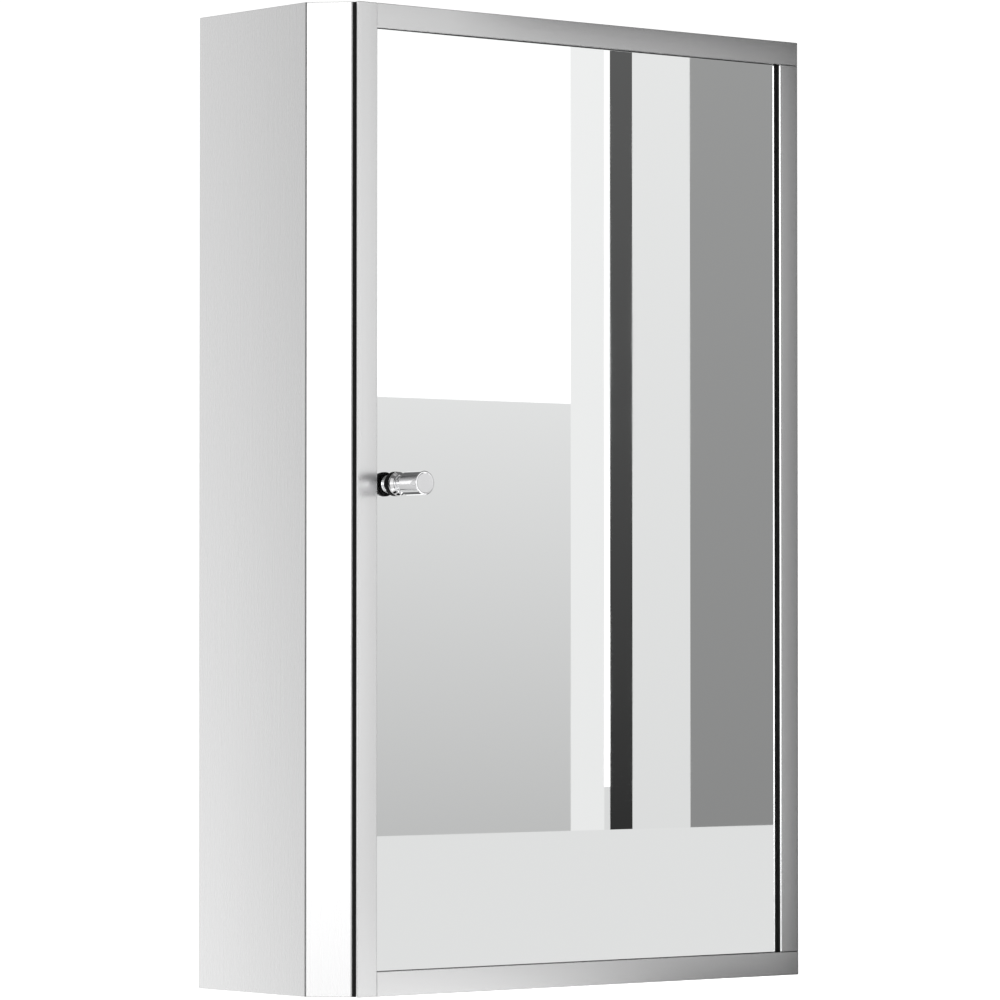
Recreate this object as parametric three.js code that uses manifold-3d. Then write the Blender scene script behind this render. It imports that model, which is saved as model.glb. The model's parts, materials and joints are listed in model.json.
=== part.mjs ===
// Wall-hung bathroom cabinet with one mirrored door, in millimetres, +Z up.
// The origin is the centre of the back face. +X is to the right and the door faces -Y.
import * as THREE from 'three';
import { mergeVertices } from 'three/addons/utils/BufferGeometryUtils.js';
import Module from 'manifold-3d';

const wasm = await Module();
wasm.setup();

// ---- Driving dimensions ----
const WIDTH = 400;
const HEIGHT = 600;
const SIDE_DEPTH = 108; // the flat part of each side, from the wall to the fold
const BEVEL = 20; // both legs of the 45 degree bevel in front of the fold
const SEAL_GAP = 4; // between the cabinet's front and the back of the door's strips
const SHEET = 1; // thickness of the folded stainless sheet
const FIT = 0.3; // gap between pieces that are fitted together
const SLIP = 0.1; // gap between pieces that lie on each other
const PAST = 1; // how far a hole's tool passes the face it cuts

// ---- Cabinet shell ----
const HALF_W = WIDTH / 2;
const HALF_H = HEIGHT / 2;
const FACE_HALF_W = HALF_W - BEVEL; // the flat front, between the bevels
const SHELL_FRONT = -(SIDE_DEPTH + BEVEL);
const OPENING_LIP = 6; // width of the flange round the opening
const OPENING_HALF_W = FACE_HALF_W - OPENING_LIP;
const OPENING_HALF_H = HALF_H - OPENING_LIP;
const REAR_LIP = 15; // width of the flange against the wall
const REAR_HALF_W = HALF_W - REAR_LIP;
const REAR_HALF_H = HALF_H - REAR_LIP;
const SHEET_SET_BACK = SHEET * Math.tan(Math.PI / 8); // how far a 45 degree fold's inner corner moves
const INNER_HALF_W = HALF_W - SHEET;

// ---- Door frame ----
const STRIP_WIDTH = 15;
const STRIP_THICK = 1.5;
const STRIP_BACK = SHELL_FRONT - SEAL_GAP;
const STRIP_FRONT = STRIP_BACK - STRIP_THICK;
const SIGHT_HALF_W = FACE_HALF_W - STRIP_WIDTH; // the visible mirror
const SIGHT_HALF_H = HALF_H - STRIP_WIDTH;
const WEB_OFFSET = 8; // from a strip's outer edge to the outside of its web
const WEB_THICK = 2;
const WEB_END = -115.5;
const POCKET_HALF_W = FACE_HALF_W - WEB_OFFSET - WEB_THICK; // inside the four webs
const POCKET_HALF_H = HALF_H - WEB_OFFSET - WEB_THICK;
const PANEL_HALF_W = POCKET_HALF_W - FIT;
const PANEL_HALF_H = POCKET_HALF_H - FIT;

// ---- Layers of the door, from the front ----
const GLAZING_DEPTH = 2.4;
const GLASS_THICK = 4;
const BOARD_THICK = 3;
const GLASS_FRONT = STRIP_BACK + GLAZING_DEPTH;
const GLASS_BACK = GLASS_FRONT + GLASS_THICK;
const BOARD_FRONT = GLASS_BACK + SLIP;
const BOARD_BACK = BOARD_FRONT + BOARD_THICK;
const DOOR_PANEL_BACK = -116;
const DOOR_PANEL_FRONT = DOOR_PANEL_BACK - SHEET;
const KEY_ARM = 42;
const KEY_WIDTH = 16;
const KEY_SCREW_INSET = 8;
const KEY_BLIND = 1; // what a key's screw hole leaves uncut at its front
const KEY_FRONT = BOARD_BACK + SLIP;
const KEY_BACK = DOOR_PANEL_FRONT - SLIP;
const PANEL_SCREW = { shankR: 1.6, headR: 3.4, headHeight: 1.8 };
const PANEL_SCREW_SHORT = 2; // from the screw's tip to the front of its key
const PANEL_HOLE_R = PANEL_SCREW.shankR + SLIP * 2;

// ---- Knob ----
// Every _END is a distance outwards from the glass.
const KNOB_X = -152.3;
const KNOB_Z = 9;
const KNOB_HOLE_R = 3;
const KNOB_SCREW = { shankR: 2, headR: 4, headHeight: 2.2 };
const KNOB_BORE_R = 2.3;
const KNOB_FOOT_R = 5.6;
const KNOB_FOOT_EDGE = 1.2; // the foot's straight rim, below its taper
const KNOB_FOOT_TOP_R = 4.8;
const KNOB_FOOT_END = 3.7;
const WASHER_R = 7.4;
const WASHER_END = 7.5;
const FLANGE_R = 7.2;
const FLANGE_END = 11.1;
const COLLAR_R = 5.4;
const COLLAR_END = 13.1;
const STEP_R = 4.6;
const STEP_END = 14.7;
const NECK_R = 3.8;
const NECK_END = 17.3;
const KNOB_CAP_R = 7.2;
const CAP_CHAMFER = 0.4;
const CAP_BORE_END = 27.7;
const CAP_END = 34.1;
const KNOB_SCREW_END = 26.7;

// ---- Hinge down the right side ----
const HINGE_X = FACE_HALF_W + 0.3;
const HINGE_Y = SHELL_FRONT - SEAL_GAP / 2;
const BARREL_R = 1.9;
const BORE_R = 1.0;
const PIN_R = 0.9;
const LEAF_THICK = 0.9;
const LEAF_INNER_X = OPENING_HALF_W + 0.2;
const KNUCKLES = 13;
const KNUCKLE_PITCH = 46;
const KNUCKLE_GAP = 0.5;
const HINGE_HALF_LENGTH = KNUCKLES * KNUCKLE_PITCH / 2;

// ---- Shelves ----
const SHELF_LEVELS = { upper: 98, lower: -98 };
const SHELF_BACK = -4;
const SHELF_FRONT = -104;
const SHELF_SKIRT = 14;
const PIN_ROWS = { front: -88, rear: -20 };
const SHELF_PIN_R = 2.5;
const SHELF_PIN_REACH = 9;
const SHELF_PIN_COLLAR_R = 4.5;
const SHELF_PIN_COLLAR = 1.2;
const SHELF_HALF_W = INNER_HALF_W - SHELF_PIN_COLLAR - FIT * 2;

// ---- Hanging points ----
const HANGER_X = 150;
const HANGER_Z = 250;
const HANGER_HALF = 24;
const HANGER_THICK = 1.5;
const KEYHOLE_R = 5;
const KEYHOLE_SLOT_R = 2.75;
const KEYHOLE_RISE = 12;
const JOGGLE = 1.3; // how far the back panel's edge steps behind the rear flanges
const JOGGLE_REACH = 11.5;

// ---- Magnetic catches on the left ----
const CATCH_LEVELS = { upper: 215, lower: -215 };
const CATCH_HALF_H = 9;
const CATCH_TIP_X = -152;
const CATCH_NOSE = 18;
const CATCH_FRONT = -112.5;
const CATCH_BACK = -96;
const CATCH_ARM_FRONT = -104;
const CATCH_FOOT_BACK = -66;
const CATCH_FOOT_THICK = 2.5;
const MAGNET_PROUD = 1.3;
const MAGNET_WALL = 3;
const STRIKE_THICK = 1.5;
const CATCH_SCREW_ROWS = { front: -88, rear: -72 };
const CATCH_SCREW = { shankR: 1.8, headR: 3.2, headHeight: 1.6 };
const CATCH_HOLE_HALF = 2;

const ROUND = 32; // facets of a round piece
const SMALL_ROUND = 16; // facets of a pin or a screw
const HEAD_EDGE = 0.5; // part of a screw head's height below its crown
const HEAD_CROWN = 0.6; // part of a screw head's radius that stays flat on top

// ---- Materials ----
const finish = (color, roughness, metalness) => () =>
  new THREE.MeshStandardMaterial({ color, roughness, metalness });
const satinSteel = finish(0xd4d4d4, 0.35, 1);
const plainSteel = finish(0xb9bbbd, 0.4, 1);
const chrome = finish(0xe8e8e8, 0.05, 1);
const silvered = finish(0xf2f2f2, 0.02, 1);
const blackRubber = finish(0x101010, 0.7, 0);
const hardboard = finish(0x6b4a2c, 0.8, 0);
const whitePlastic = finish(0xf0f0ec, 0.5, 0);
const greyPlastic = finish(0x6a6c6e, 0.5, 0);
const ferrite = finish(0x2b2b2d, 0.6, 0);

// ---- Geometry helpers ----
const assembly = new THREE.Group();

function add(name, geometry, material, place = () => {}) {
  const mesh = new THREE.Mesh(geometry, material());
  mesh.name = name;
  place(mesh);
  assembly.add(mesh);
}

// A box from its lowest to its highest corner.
function box(low, high) {
  const size = high.map((v, i) => v - low[i]);
  const centre = high.map((v, i) => (v + low[i]) / 2);
  return new THREE.BoxGeometry(...size).translate(...centre);
}

// An outline drawn in the XY plane, raised from z0 to z1.
function prism(outline, z0, z1) {
  const shape = new THREE.Shape(outline.map(([x, y]) => new THREE.Vector2(x, y)));
  return new THREE.ExtrudeGeometry(shape, { depth: z1 - z0, bevelEnabled: false }).translate(0, 0, z0);
}

// A rod along Y, from y0 to y1.
function rodY(radius, x, y0, y1, z) {
  return new THREE.CylinderGeometry(radius, radius, y1 - y0, SMALL_ROUND).translate(x, (y0 + y1) / 2, z);
}

// A rod along Z, from z0 to z1.
function rodZ(radius, x, y, z0, z1) {
  const rod = new THREE.CylinderGeometry(radius, radius, z1 - z0, SMALL_ROUND).rotateX(Math.PI / 2);
  return rod.translate(x, y, (z0 + z1) / 2);
}

// A turned piece along Y: its profile is [radius, y], from one end to the other.
function turned(profile, facets = ROUND) {
  return new THREE.LatheGeometry(profile.map(([r, y]) => new THREE.Vector2(r, y)), facets);
}

function toSolid(geometry) {
  const bare = geometry.clone();
  bare.deleteAttribute('normal');
  bare.deleteAttribute('uv');
  const merged = mergeVertices(bare);
  const vertProperties = new Float32Array(merged.attributes.position.array);
  const triVerts = new Uint32Array(merged.index.array);
  return new wasm.Manifold(new wasm.Mesh({ numProp: 3, vertProperties, triVerts }));
}

function toGeometry(solid) {
  const mesh = solid.getMesh();
  const geometry = new THREE.BufferGeometry();
  geometry.setAttribute('position', new THREE.BufferAttribute(new Float32Array(mesh.vertProperties), 3));
  geometry.setIndex(new THREE.BufferAttribute(new Uint32Array(mesh.triVerts), 1));
  geometry.computeVertexNormals();
  return geometry;
}

function combine(parts, holes = []) {
  let solid = toSolid(parts[0]);
  for (const part of parts.slice(1)) solid = solid.add(toSolid(part));
  for (const hole of holes) solid = solid.subtract(toSolid(hole));
  return toGeometry(solid);
}

// ---- Cabinet shell ----
// Each side is one folded sheet: rear flange, side, bevel and the flange beside the opening.
function sideShell(name, side) {
  const innerFold = SIDE_DEPTH - SHEET_SET_BACK;
  const innerCorner = FACE_HALF_W - SHEET_SET_BACK;
  const outline = [
    [REAR_HALF_W, 0], [REAR_HALF_W, -SHEET], [INNER_HALF_W, -SHEET], [INNER_HALF_W, -innerFold],
    [innerCorner, SHELL_FRONT + SHEET], [OPENING_HALF_W, SHELL_FRONT + SHEET],
    [OPENING_HALF_W, SHELL_FRONT], [FACE_HALF_W, SHELL_FRONT], [HALF_W, -SIDE_DEPTH], [HALF_W, 0],
  ];
  add(name, prism(outline.map(([x, y]) => [side * x, y]), -HALF_H, HALF_H), satinSteel);
}

// The top and the bottom fit between the sides, with a flange at the front and one at the rear.
function endShell(name, up) {
  const across = INNER_HALF_W - FIT;
  const front = SHELL_FRONT + SHEET + FIT;
  const foldFront = -(SIDE_DEPTH - SHEET_SET_BACK) + FIT * Math.SQRT2 - FIT;
  const bevelEnd = across - (foldFront - front);
  const lip = OPENING_HALF_W - FIT;
  const rear = REAR_HALF_W - FIT;
  const right = [
    [rear, 0], [rear, -SHEET - FIT], [across, -SHEET - FIT], [across, foldFront],
    [bevelEnd, front], [lip, front], [lip, SHELL_FRONT],
  ];
  const left = right.map(([x, y]) => [-x, y]).reverse();
  const span = (a, b) => [Math.min(up * a, up * b), Math.max(up * a, up * b)];
  const [plateLow, plateHigh] = span(HALF_H - SHEET, HALF_H);
  const [frontLow, frontHigh] = span(OPENING_HALF_H, HALF_H);
  const [rearLow, rearHigh] = span(REAR_HALF_H, HALF_H);
  add(name, combine([
    prism([...right, ...left], plateLow, plateHigh),
    box([-lip, SHELL_FRONT, frontLow], [lip, SHELL_FRONT + SHEET, frontHigh]),
    box([-rear, -SHEET, rearLow], [rear, 0, rearHigh]),
  ]), satinSteel);
}

// A keyhole through y0 to y1: a round hole with a slot above it.
function keyhole(x, y0, y1) {
  const slotTop = HANGER_Z + KEYHOLE_RISE;
  return [
    rodY(KEYHOLE_R, x, y0, y1, HANGER_Z),
    box([x - KEYHOLE_SLOT_R, y0, HANGER_Z], [x + KEYHOLE_SLOT_R, y1, slotTop]),
    rodY(KEYHOLE_SLOT_R, x, y0, y1, slotTop),
  ];
}

// The back lies flush with the wall; its edge steps forward behind the rear flanges.
function backPanel() {
  const stepFront = -JOGGLE - SHEET;
  const flatW = REAR_HALF_W - FIT * 2;
  const flatH = REAR_HALF_H - FIT * 2;
  const edgeW = flatW + JOGGLE_REACH;
  const edgeH = flatH + JOGGLE_REACH;
  const hollowW = flatW - SHEET;
  const hollowH = flatH - SHEET;
  add('back_panel', combine([
    box([-flatW, stepFront, -flatH], [flatW, 0, flatH]),
    box([-edgeW, stepFront, -edgeH], [edgeW, -JOGGLE, edgeH]),
  ], [
    box([-hollowW, stepFront - PAST, -hollowH], [hollowW, -SHEET, hollowH]),
    ...keyhole(-HANGER_X, -SHEET - PAST, PAST),
    ...keyhole(HANGER_X, -SHEET - PAST, PAST),
  ]), satinSteel);
}

function hangerPlate(name, x) {
  const back = -SHEET - SLIP;
  const front = back - HANGER_THICK;
  const low = [x - HANGER_HALF, front, HANGER_Z - HANGER_HALF];
  const high = [x + HANGER_HALF, back, HANGER_Z + HANGER_HALF];
  add(name, combine([box(low, high)], keyhole(x, front - PAST, back + PAST)), plainSteel);
}

// ---- Shelves ----
function shelf(name, level) {
  const skirt = (y0, y1) => box([-SHELF_HALF_W, y0, level - SHELF_SKIRT], [SHELF_HALF_W, y1, level]);
  add(name, combine([
    box([-SHELF_HALF_W, SHELF_FRONT, level - SHEET], [SHELF_HALF_W, SHELF_BACK, level]),
    skirt(SHELF_FRONT, SHELF_FRONT + SHEET),
    skirt(SHELF_BACK - SHEET, SHELF_BACK),
  ]), satinSteel);
}

// A shelf pin stands on a side's inner face and reaches under the shelf.
function shelfPin(name, side, y, level) {
  const profile = [
    [0, 0], [SHELF_PIN_COLLAR_R, 0], [SHELF_PIN_COLLAR_R, SHELF_PIN_COLLAR],
    [SHELF_PIN_R, SHELF_PIN_COLLAR], [SHELF_PIN_R, SHELF_PIN_REACH], [0, SHELF_PIN_REACH],
  ];
  add(name, turned(profile, SMALL_ROUND), plainSteel, (mesh) => {
    mesh.position.set(side * (INNER_HALF_W - SLIP), y, level - SHEET - SLIP - SHELF_PIN_R);
    mesh.rotation.z = side * Math.PI / 2;
  });
}

// ---- Magnetic catches ----
function magneticCatch(place, level) {
  const wall = -INNER_HALF_W + FIT;
  const low = level - CATCH_HALF_H;
  const high = level + CATCH_HALF_H;
  const noseX = CATCH_TIP_X - CATCH_NOSE;
  const pocketLow = [noseX + MAGNET_WALL, CATCH_FRONT - PAST, low + MAGNET_WALL];
  const pocketHigh = [CATCH_TIP_X - MAGNET_WALL, CATCH_ARM_FRONT, high - MAGNET_WALL];
  const screwHoles = Object.values(CATCH_SCREW_ROWS).map((y) => box(
    [wall - PAST, y - CATCH_HOLE_HALF, level - CATCH_HOLE_HALF],
    [wall + CATCH_FOOT_THICK + PAST, y + CATCH_HOLE_HALF, level + CATCH_HOLE_HALF],
  ));
  add(`catch_housing_${place}`, combine([
    box([wall, CATCH_ARM_FRONT, low], [wall + CATCH_FOOT_THICK, CATCH_FOOT_BACK, high]),
    box([wall, CATCH_ARM_FRONT, low], [CATCH_TIP_X, CATCH_BACK, high]),
    box([noseX, CATCH_FRONT, low], [CATCH_TIP_X, CATCH_BACK, high]),
  ], [box(pocketLow, pocketHigh), ...screwHoles]), whitePlastic);
  add(`catch_magnet_${place}`, box(
    [pocketLow[0] + FIT, CATCH_FRONT - MAGNET_PROUD, pocketLow[2] + FIT],
    [pocketHigh[0] - FIT, pocketHigh[1] - FIT, pocketHigh[2] - FIT],
  ), ferrite);
  for (const [row, y] of Object.entries(CATCH_SCREW_ROWS)) {
    screw(`catch_screw_${place}_${row}`, CATCH_SCREW, CATCH_FOOT_THICK - SLIP, (mesh) => {
      mesh.position.set(wall + CATCH_FOOT_THICK + SLIP, y, level);
      mesh.rotation.z = -Math.PI / 2;
    });
  }
  add(`strike_plate_${place}`, box(
    [noseX, DOOR_PANEL_BACK + SLIP, low],
    [CATCH_TIP_X, DOOR_PANEL_BACK + SLIP + STRIKE_THICK, high],
  ), plainSteel);
}

// A pan-head screw: its shank runs down from y = 0 and its head stands above.
function screw(name, { shankR, headR, headHeight }, length, place) {
  add(name, turned([
    [0, -length], [shankR, -length], [shankR, 0], [headR, 0],
    [headR, headHeight * HEAD_EDGE], [headR * HEAD_CROWN, headHeight], [0, headHeight],
  ], SMALL_ROUND), plainSteel, place);
}

// ---- Door frame ----
// A strip has a flat face and a web that stands behind it, round the mirror's pocket.
function uprightStrip(name, side, faceHalf, webHalf) {
  const span = (a, b) => [Math.min(side * a, side * b), Math.max(side * a, side * b)];
  const [faceLow, faceHigh] = span(SIGHT_HALF_W, FACE_HALF_W);
  const [webLow, webHigh] = span(POCKET_HALF_W, POCKET_HALF_W + WEB_THICK);
  add(name, combine([
    box([faceLow, STRIP_FRONT, -faceHalf], [faceHigh, STRIP_BACK, faceHalf]),
    box([webLow, STRIP_FRONT, -webHalf], [webHigh, WEB_END, webHalf]),
  ]), satinSteel);
}

function levelStrip(name, up) {
  const span = (a, b) => [Math.min(up * a, up * b), Math.max(up * a, up * b)];
  const [faceLow, faceHigh] = span(SIGHT_HALF_H, HALF_H);
  const [webLow, webHigh] = span(POCKET_HALF_H, POCKET_HALF_H + WEB_THICK);
  const left = -SIGHT_HALF_W + SLIP;
  add(name, combine([
    box([left, STRIP_FRONT, faceLow], [FACE_HALF_W, STRIP_BACK, faceHigh]),
    box([left, STRIP_FRONT, webLow], [PANEL_HALF_W, WEB_END, webHigh]),
  ]), satinSteel);
}

// ---- Glazing strips and door seals ----
function glazingStrips() {
  const front = STRIP_BACK + SLIP;
  const back = GLASS_FRONT - SLIP;
  const inner = [SIGHT_HALF_W, SIGHT_HALF_H];
  const outer = [PANEL_HALF_W, PANEL_HALF_H];
  for (const [name, side] of [['left', -1], ['right', 1]]) {
    const [x0, x1] = [side * inner[0], side * outer[0]].sort((a, b) => a - b);
    add(`glazing_strip_${name}`, box([x0, front, -outer[1]], [x1, back, outer[1]]), blackRubber);
  }
  for (const [name, up] of [['top', 1], ['bottom', -1]]) {
    const [z0, z1] = [up * inner[1], up * outer[1]].sort((a, b) => a - b);
    const reach = inner[0] - FIT;
    add(`glazing_strip_${name}`, box([-reach, front, z0], [reach, back, z1]), blackRubber);
  }
}

function doorSeals() {
  const front = STRIP_BACK + SLIP;
  const back = SHELL_FRONT - FIT;
  const inner = FACE_HALF_W - WEB_OFFSET + FIT;
  const outer = FACE_HALF_W - FIT;
  const level = HALF_H - WEB_OFFSET + FIT;
  const edge = HALF_H - FIT;
  add('door_seal_left', box([-outer, front, -edge], [-inner, back, edge]), blackRubber);
  add('door_seal_top', box([-inner + FIT, front, level], [inner - FIT * 2, back, edge]), blackRubber);
  add('door_seal_bottom', box([-inner + FIT, front, -edge], [inner - FIT * 2, back, -level]), blackRubber);
}

// ---- Layers behind the frame ----
function doorLayer(name, y0, y1, holes, material) {
  const sheet = box([-PANEL_HALF_W, y0, -PANEL_HALF_H], [PANEL_HALF_W, y1, PANEL_HALF_H]);
  add(name, combine([sheet], holes), material);
}

function cornerKey(name, side, up) {
  const arm = (reachX, reachZ) => {
    const xs = [side * PANEL_HALF_W, side * (PANEL_HALF_W - reachX)].sort((a, b) => a - b);
    const zs = [up * PANEL_HALF_H, up * (PANEL_HALF_H - reachZ)].sort((a, b) => a - b);
    return box([xs[0], KEY_FRONT, zs[0]], [xs[1], KEY_BACK, zs[1]]);
  };
  const [x, z] = keyScrewPlace(side, up);
  const hole = rodY(PANEL_HOLE_R, x, KEY_FRONT + KEY_BLIND, KEY_BACK + PAST, z);
  add(name, combine([arm(KEY_ARM, KEY_WIDTH), arm(KEY_WIDTH, KEY_ARM)], [hole]), greyPlastic);
}

function keyScrewPlace(side, up) {
  return [side * (PANEL_HALF_W - KEY_SCREW_INSET), up * (PANEL_HALF_H - KEY_SCREW_INSET)];
}

function panelScrew(name, side, up) {
  const [x, z] = keyScrewPlace(side, up);
  screw(name, PANEL_SCREW, DOOR_PANEL_BACK - KEY_FRONT - PANEL_SCREW_SHORT, (mesh) => {
    mesh.position.set(x, DOOR_PANEL_BACK + SLIP, z);
  });
}

// ---- Knob ----
// Its profiles are [radius, distance out from the glass].
function knobPiece(name, profile, material) {
  const outline = profile.map(([r, out]) => [r, -out]).reverse();
  add(name, turned(outline), material, (mesh) => mesh.position.set(KNOB_X, GLASS_FRONT, KNOB_Z));
}

function knob() {
  knobPiece('knob_foot', [
    [KNOB_BORE_R, SLIP], [KNOB_FOOT_R, SLIP], [KNOB_FOOT_R, KNOB_FOOT_EDGE],
    [KNOB_FOOT_TOP_R, KNOB_FOOT_END], [KNOB_BORE_R, KNOB_FOOT_END], [KNOB_BORE_R, SLIP],
  ], chrome);
  const washerStart = KNOB_FOOT_END + SLIP;
  knobPiece('knob_washer', [
    [KNOB_BORE_R, washerStart], [WASHER_R, washerStart], [WASHER_R, WASHER_END],
    [KNOB_BORE_R, WASHER_END], [KNOB_BORE_R, washerStart],
  ], blackRubber);
  const baseStart = WASHER_END + SLIP;
  knobPiece('knob_base', [
    [KNOB_BORE_R, baseStart], [FLANGE_R, baseStart], [FLANGE_R, FLANGE_END], [COLLAR_R, FLANGE_END],
    [COLLAR_R, COLLAR_END], [STEP_R, COLLAR_END], [STEP_R, STEP_END], [NECK_R, STEP_END],
    [NECK_R, NECK_END], [KNOB_BORE_R, NECK_END], [KNOB_BORE_R, baseStart],
  ], chrome);
  knobPiece('knob_cap', [
    [0, CAP_BORE_END], [KNOB_BORE_R, CAP_BORE_END], [KNOB_BORE_R, NECK_END + SLIP],
    [KNOB_CAP_R - CAP_CHAMFER, NECK_END + SLIP], [KNOB_CAP_R, NECK_END + SLIP + CAP_CHAMFER],
    [KNOB_CAP_R, CAP_END - CAP_CHAMFER], [KNOB_CAP_R - CAP_CHAMFER, CAP_END], [0, CAP_END],
  ], chrome);
  screw('knob_screw', KNOB_SCREW, DOOR_PANEL_BACK - GLASS_FRONT + KNOB_SCREW_END, (mesh) => {
    mesh.position.set(KNOB_X, DOOR_PANEL_BACK + SLIP, KNOB_Z);
  });
}

// ---- Hinge ----
// The leaves share one barrel: every second knuckle belongs to the door.
function hingeLeaf(name, towardsCabinet) {
  const way = towardsCabinet ? 1 : -1;
  const ys = [HINGE_Y + way * BARREL_R, HINGE_Y + way * (BARREL_R - LEAF_THICK)].sort((a, b) => a - b);
  const flatEnd = HINGE_X - BARREL_R - FIT;
  const parts = [box(
    [LEAF_INNER_X, ys[0], -HINGE_HALF_LENGTH], [flatEnd, ys[1], HINGE_HALF_LENGTH],
  )];
  for (let i = towardsCabinet ? 0 : 1; i < KNUCKLES; i += 2) {
    const low = -HINGE_HALF_LENGTH + i * KNUCKLE_PITCH + KNUCKLE_GAP / 2;
    const high = low + KNUCKLE_PITCH - KNUCKLE_GAP;
    parts.push(rodZ(BARREL_R, HINGE_X, HINGE_Y, low, high));
    parts.push(box([flatEnd - PAST, ys[0], low], [HINGE_X, ys[1], high]));
  }
  const boreEnd = HINGE_HALF_LENGTH + PAST;
  add(name, combine(parts, [rodZ(BORE_R, HINGE_X, HINGE_Y, -boreEnd, boreEnd)]), satinSteel);
}

// ---- The whole cabinet ----
const SIDES = { left: -1, right: 1 };
const ENDS = { top: 1, bottom: -1 };

for (const [place, side] of Object.entries(SIDES)) sideShell(`side_shell_${place}`, side);
for (const [place, up] of Object.entries(ENDS)) endShell(`${place}_shell`, up);
backPanel();
for (const [place, side] of Object.entries(SIDES)) hangerPlate(`hanger_plate_${place}`, side * HANGER_X);
for (const [storey, level] of Object.entries(SHELF_LEVELS)) {
  shelf(`shelf_${storey}`, level);
  for (const [place, side] of Object.entries(SIDES)) {
    for (const [row, y] of Object.entries(PIN_ROWS)) {
      shelfPin(`shelf_pin_${storey}_${place}_${row}`, side, y, level);
    }
  }
}
for (const [place, level] of Object.entries(CATCH_LEVELS)) magneticCatch(place, level);
hingeLeaf('hinge_leaf_body', true);
hingeLeaf('hinge_leaf_door', false);
add('hinge_pin', rodZ(PIN_R, HINGE_X, HINGE_Y, -HINGE_HALF_LENGTH, HINGE_HALF_LENGTH), plainSteel);

uprightStrip('door_stile_left', -1, HALF_H, POCKET_HALF_H + WEB_THICK);
uprightStrip('door_stile_right', 1, SIGHT_HALF_H - SLIP, SIGHT_HALF_H - SLIP);
for (const [place, up] of Object.entries(ENDS)) levelStrip(`door_rail_${place}`, up);
glazingStrips();
doorSeals();
const panelHoles = Object.values(SIDES).flatMap((side) => Object.values(ENDS).map((up) => {
  const [x, z] = keyScrewPlace(side, up);
  return rodY(PANEL_HOLE_R, x, DOOR_PANEL_FRONT - PAST, DOOR_PANEL_BACK + PAST, z);
}));
const wideHole = rodY(KNOB_HOLE_R, KNOB_X, GLASS_FRONT - PAST, BOARD_BACK + PAST, KNOB_Z);
const screwHole = rodY(KNOB_BORE_R, KNOB_X, DOOR_PANEL_FRONT - PAST, DOOR_PANEL_BACK + PAST, KNOB_Z);
doorLayer('mirror_glass', GLASS_FRONT, GLASS_BACK, [wideHole], silvered);
doorLayer('backing_board', BOARD_FRONT, BOARD_BACK, [wideHole], hardboard);
doorLayer('door_back_panel', DOOR_PANEL_FRONT, DOOR_PANEL_BACK, [screwHole, ...panelHoles], satinSteel);
for (const [across, side] of Object.entries(SIDES)) {
  for (const [end, up] of Object.entries(ENDS)) {
    cornerKey(`corner_key_${end}_${across}`, side, up);
    panelScrew(`panel_screw_${end}_${across}`, side, up);
  }
}
knob();

export default assembly;
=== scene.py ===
"""A steel medicine cabinet with a mirrored door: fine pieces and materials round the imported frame."""

import json
from math import atan2, cos, pi, radians, sin, tan

import bmesh
import bpy
from mathutils import Matrix, Vector


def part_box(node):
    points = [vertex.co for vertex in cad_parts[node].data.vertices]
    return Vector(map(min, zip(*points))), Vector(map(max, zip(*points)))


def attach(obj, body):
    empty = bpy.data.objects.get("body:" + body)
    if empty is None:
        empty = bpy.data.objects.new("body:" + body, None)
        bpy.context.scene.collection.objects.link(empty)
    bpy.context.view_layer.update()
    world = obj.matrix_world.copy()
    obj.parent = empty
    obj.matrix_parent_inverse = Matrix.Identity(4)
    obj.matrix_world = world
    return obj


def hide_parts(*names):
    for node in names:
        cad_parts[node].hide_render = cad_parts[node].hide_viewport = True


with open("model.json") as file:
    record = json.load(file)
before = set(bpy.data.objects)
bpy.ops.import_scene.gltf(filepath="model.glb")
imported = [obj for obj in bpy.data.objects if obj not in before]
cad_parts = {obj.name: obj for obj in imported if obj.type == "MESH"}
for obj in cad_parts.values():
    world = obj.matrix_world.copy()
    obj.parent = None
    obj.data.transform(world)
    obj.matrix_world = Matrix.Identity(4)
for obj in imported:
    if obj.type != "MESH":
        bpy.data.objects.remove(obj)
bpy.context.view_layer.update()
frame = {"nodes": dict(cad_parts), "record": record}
record = frame["record"]
body_of_node = {n: b for b, names in record["behaviour"]["bodies"].items() for n in names}
scene = bpy.context.scene

MM = 0.001

# ---- Camera ----
CAMERA_AZIMUTH = radians(39.58)  # to the left of straight ahead
CAMERA_PITCH = radians(1.53)  # looking slightly up
CAMERA_DISTANCE = 3.4286
CAMERA_LENS = 195.2
AIM = Vector((0, -0.065, 0))
AIM_RIGHT = -0.0095
AIM_UP = 0.0033

# ---- Edges and small forms ----
SHEET_EDGE = 0.22 * MM
SHELL_EDGE = 0.4 * MM
SHELL_FOLD = 1.0 * MM  # how far the bend between side and bevel reaches along each of them
STRIP_EDGE = 0.35 * MM
STRIP_THICK = 1.5 * MM
GLASS_EDGE = 0.35 * MM
CATCH_METAL_EDGE = 0.4 * MM
MOULDED_EDGE = 0.7 * MM
RUBBER_EDGE = 0.5 * MM
RUBBER_GROOVE = 0.5 * MM
WELD = 0.002 * MM  # corners closer than this are one corner
SMOOTH_BELOW = radians(40)  # edges flatter than this are shaded smooth
ROUND = 96  # segments of the knob
SMALL_ROUND = 48  # segments of screws and shelf pins
PIN_ROUND = 32  # segments of the hinge pin
RIVET_ROUND = 24

# ---- Knob, with its distances measured from the glass ----
KNOB_BORE_R = 2.3 * MM
FOOT_RIM = 1.2 * MM
FOOT_TOP_R = 4.8 * MM
FLANGE_RIM = 1.4 * MM
CAP_BORE_END = 27.7 * MM
CAP_RIM = 1.0 * MM  # the flat ring round the cap's dish
CAP_DISH_SLOPE = 0.3 * MM
CAP_DISH = 0.12 * MM
NECK_R = 3.7
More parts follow.
